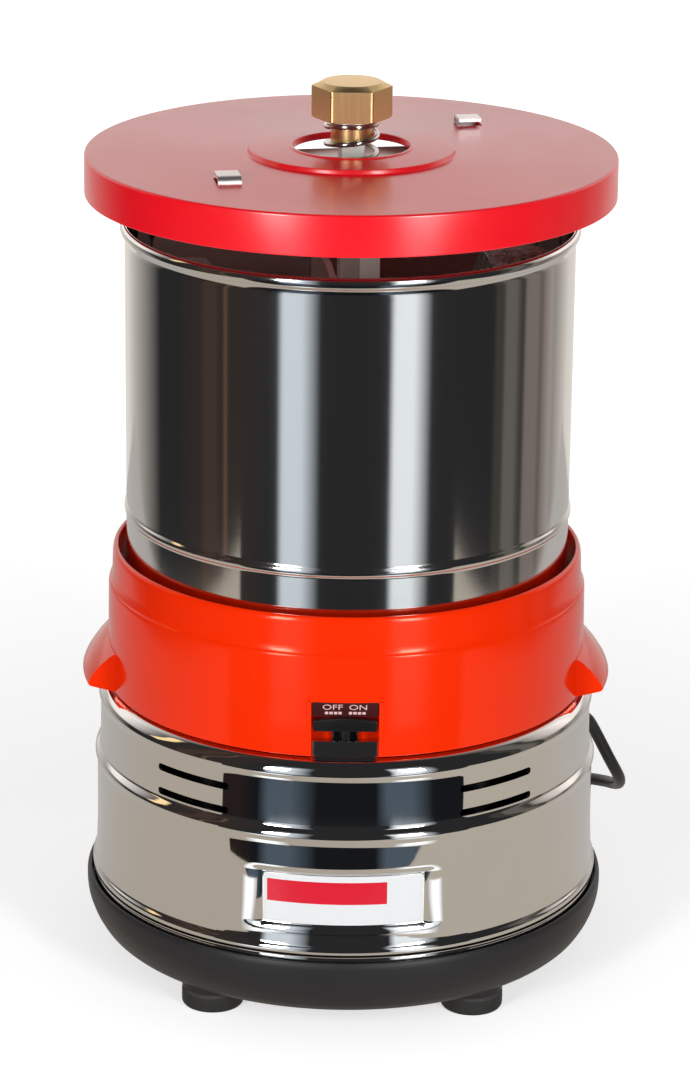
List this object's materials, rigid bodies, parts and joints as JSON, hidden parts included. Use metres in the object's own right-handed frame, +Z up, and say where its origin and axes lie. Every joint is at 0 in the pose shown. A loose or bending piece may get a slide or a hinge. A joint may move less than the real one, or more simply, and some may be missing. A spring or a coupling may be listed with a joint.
{
  "type": "chocolate melanger",
  "caption": "Table-top chocolate melanger: steel drum with a granite floor turns under two granite rollers; red lid, orange housing with side handles, polished steel base and a rocker switch.",
  "frame": {"origin": "centre of the machine, without its cord, on the surface that its feet stand on", "axes": "+Z up, the front with the switch and the label towards -Y, +X to the right seen from the front"},
  "size_m": [0.2648, 0.3583, 0.4197],
  "materials": {
    "polished_steel": "polished stainless steel",
    "plain_steel": "plain steel",
    "orange_plastic": "satin moulding",
    "red_plastic": "gloss moulding",
    "black_plastic": "fine matt texture",
    "black_rubber": "matt",
    "white_plastic": "food-grade moulding",
    "granite": "ground, speckled grey",
    "brass": "turned and polished",
    "copper": "enamelled copper wire",
    "maroon_plastic": "printed plate",
    "label_film": "printed film"
  },
  "bodies": {
    "root": {"base_tray": "black_plastic", "steel_shell": "polished_steel", "front_label": "label_film", "upper_housing": "orange_plastic", "chassis_plate": "plain_steel", "switch_label": "maroon_plastic", "switch_body": "black_plastic", "rocker_pin": "plain_steel", "centre_shaft": "plain_steel", "shaft_nut": "plain_steel", "motor_case": "plain_steel", "motor_end_cap": "plain_steel", "motor_bush": "brass", "stator_core": "plain_steel", "stator_windings": "copper", "drive_belt": "black_rubber", "run_capacitor": "plain_steel", "cord_coil": "black_rubber", "cord_free": "black_rubber", "cord_plug_end": "black_rubber", "cord_gland": "black_rubber", "cord_tie": "black_plastic", "plug_body": "black_rubber", "plug_blade_1": "brass", "plug_blade_2": "brass", "plug_earth_pin": "brass", "foot_pad_front_left": "black_rubber", "chassis_screw_front_left": "plain_steel", "foot_pad_front_right": "black_rubber", "chassis_screw_front_right": "plain_steel", "foot_pad_rear_right": "black_rubber", "chassis_screw_rear_right": "plain_steel", "foot_pad_rear_left": "black_rubber", "chassis_screw_rear_left": "plain_steel"},
    "drum": {"drum": "polished_steel", "base_stone": "granite", "drum_dog_plate": "plain_steel", "driven_pulley": "black_plastic", "lower_bearing": "plain_steel", "upper_bearing": "plain_steel"},
    "motor_rotor": {"motor_rotor": "plain_steel", "cooling_fan": "black_plastic", "motor_pulley": "plain_steel"},
    "holder": {"roller_holder": "white_plastic", "left_roller_axle": "plain_steel", "right_roller_axle": "plain_steel", "left_axle_spacer": "black_plastic", "right_axle_spacer": "black_plastic", "scraper": "white_plastic", "lid_carrier": "plain_steel"},
    "left_roller": {"left_roller_stone": "granite", "left_roller_bush": "white_plastic"},
    "right_roller": {"right_roller_stone": "granite", "right_roller_bush": "white_plastic"},
    "lid": {"lid": "red_plastic"},
    "nut_carriage": {"thrust_washer": "plain_steel", "tension_spring": "plain_steel"},
    "nut": {"tension_nut": "brass"},
    "switch": {"switch_rocker": "black_plastic"}
  },
  "joints": [
    {"name": "drum_spin", "type": "hinge", "parent": "root", "child": "drum", "pos_m": [0, 0, 0.2212], "axis": [0, 0, 1], "continuous": true},
    {"name": "motor_spin", "type": "hinge", "parent": "root", "child": "motor_rotor", "pos_m": [0, 0.072, 0.0942], "axis": [0, 0, 1], "continuous": true},
    {"name": "holder_float", "type": "slide", "parent": "root", "child": "holder", "axis": [0, 0, 1], "range_m": [0, 0.006], "stiffness_N_per_m": 3000, "springref_m": -0.006, "deforming": ["tension_spring"]},
    {"name": "left_roller_spin", "type": "hinge", "parent": "holder", "child": "left_roller", "pos_m": [-0.07662, -0.01351, 0.2992], "axis": [0.9848, 0.1736, 0], "continuous": true},
    {"name": "right_roller_spin", "type": "hinge", "parent": "holder", "child": "right_roller", "pos_m": [0.07662, 0.01351, 0.2992], "axis": [0.9848, 0.1736, 0], "continuous": true},
    {"name": "lid_lift", "type": "slide", "parent": "holder", "child": "lid", "axis": [0, 0, 1], "range_m": [0, 0.06]},
    {"name": "nut_travel", "type": "slide", "parent": "root", "child": "nut_carriage", "axis": [0, 0, 1], "range_m": [0, 0.00525]},
    {"name": "nut_turn", "type": "hinge", "parent": "nut_carriage", "child": "nut", "pos_m": [0, 0, 0.4102], "axis": [0, 0, 1], "range_deg": [0, 1080]},
    {"name": "switch_tilt", "type": "hinge", "parent": "root", "child": "switch", "pos_m": [0, -0.106, 0.1524], "axis": [0, 1, 0], "range_deg": [-6, 6]}
  ],
  "couplings": [
    {"joint": "motor_spin", "follows": "drum_spin", "ratio": 7.675},
    {"joint": "left_roller_spin", "follows": "drum_spin", "ratio": -1.9462},
    {"joint": "right_roller_spin", "follows": "drum_spin", "ratio": 1.9462},
    {"joint": "nut_turn", "follows": "nut_travel", "rad_per_m": 3590.4}
  ]
}
